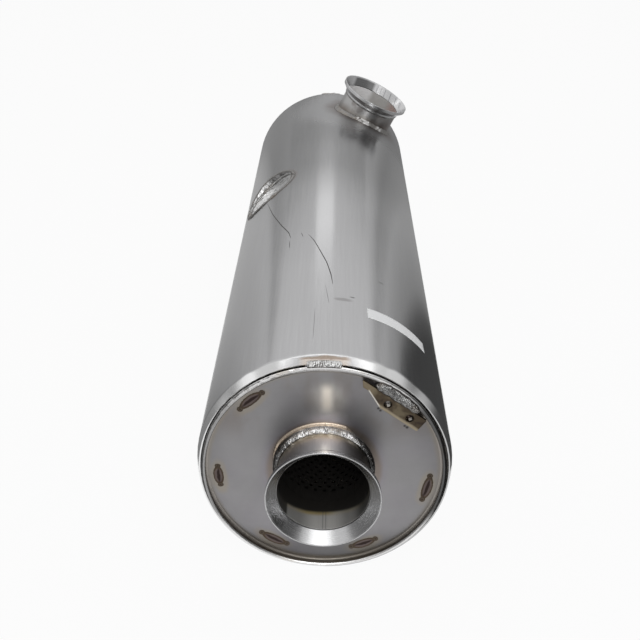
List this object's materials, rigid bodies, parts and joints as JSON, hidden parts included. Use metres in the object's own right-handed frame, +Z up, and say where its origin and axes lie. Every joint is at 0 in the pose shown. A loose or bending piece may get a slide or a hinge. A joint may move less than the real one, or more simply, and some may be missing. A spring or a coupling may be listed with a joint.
{
  "type": "diesel particulate filter",
  "caption": "Double-walled stainless can holding an oxidation catalyst and a wall-flow filter, with a flanged inlet stub on one end and a flanged outlet stub on its side.",
  "frame": {"origin": "on the inlet axis, in the plane of the inlet end's rim", "axes": "+Y along the can from the inlet end to the far end, +Z up, +X to the right seen from the inlet end"},
  "size_m": [0.28, 1.068, 0.3334],
  "materials": {
    "jacket_sheet": "satin stainless sheet with fine lengthwise lines and scratches",
    "end_sheet": "satin stainless sheet with a soft cloudy sheen",
    "shell_sheet": "stainless sheet, heat tinted at the rim",
    "weld": "rough bright weld bead with fine ripples",
    "fusion_mark": "dark oxide in the middle of a brown and gold halo",
    "tube_steel": "smooth drawn tube, straw tint beside the welds",
    "flange_steel": "fine turned finish, bright on the conical seat",
    "perforated_steel": "heat blackened, punched with holes",
    "bracket_steel": "plate with a brown and gold heat tint",
    "nut_steel": "plain weld nut",
    "inner_steel": "plain formed sheet, dull",
    "blanket": "matted ceramic fibre",
    "mat": "compressed mineral fibre mat",
    "catalyst_ceramic": "porous coated honeycomb",
    "filter_ceramic": "porous honeycomb with alternate channels plugged"
  },
  "bodies": {
    "root": {"jacket": "jacket_sheet", "insulation_blanket": "blanket", "inner_shell": "shell_sheet", "front_end_plate": "end_sheet", "rear_end_plate": "end_sheet", "front_rim_weld": "weld", "rear_rim_weld": "weld", "front_heat_shield": "inner_steel", "rear_heat_shield": "inner_steel", "front_end_insulation": "blanket", "rear_end_insulation": "blanket", "front_fusion_welds": "fusion_mark", "rear_fusion_welds": "fusion_mark", "front_stitch_weld": "weld", "rear_stitch_weld": "weld", "inlet_flange": "flange_steel", "inlet_flange_weld": "weld", "inlet_tube": "tube_steel", "inlet_weld": "weld", "diffuser_tube": "perforated_steel", "diffuser_cap": "inner_steel", "catalyst_canister": "inner_steel", "catalyst_mat": "mat", "catalyst_brick": "catalyst_ceramic", "filter_canister": "inner_steel", "filter_mat": "mat", "filter_brick": "filter_ceramic", "catalyst_front_ring": "inner_steel", "catalyst_rear_ring": "inner_steel", "filter_front_ring": "inner_steel", "filter_rear_ring": "inner_steel", "outlet_baffle": "inner_steel", "outlet_flange": "flange_steel", "outlet_flange_weld": "weld", "outlet_tube": "tube_steel", "outlet_weld": "weld", "port_collar": "tube_steel", "port_blank": "end_sheet", "port_weld": "weld", "blank_weld": "weld", "bracket_plate": "bracket_steel", "bracket_nuts": "nut_steel", "bracket_weld": "weld"}
  },
  "joints": []
}
